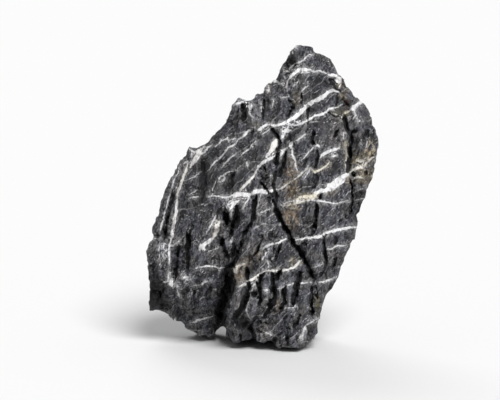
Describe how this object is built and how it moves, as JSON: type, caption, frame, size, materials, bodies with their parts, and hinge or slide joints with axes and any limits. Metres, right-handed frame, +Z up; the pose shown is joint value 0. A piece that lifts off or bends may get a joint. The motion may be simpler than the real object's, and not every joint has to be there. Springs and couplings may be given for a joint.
{
  "type": "seiryu stone",
  "caption": "Tall leaning slab of dark limestone with steep flutes, deep cracks, a pointed top and an overhanging left side, standing on small flat spots.",
  "frame": {"origin": "bottom centre of the bounding box, on the floor that the stone stands on", "axes": "+Z up and the stone's longest side; the fluted front with the long crack faces -Y, and +X is to the right as that front is seen; +Y, through the slab, is the shortest side"},
  "size_m": [0.1892, 0.1238, 0.2502],
  "materials": {
    "limestone": "matte dark blue-grey limestone with white calcite veins, rough and dry"
  },
  "bodies": {
    "root": {"seiryu_stone": "limestone"}
  },
  "joints": []
}
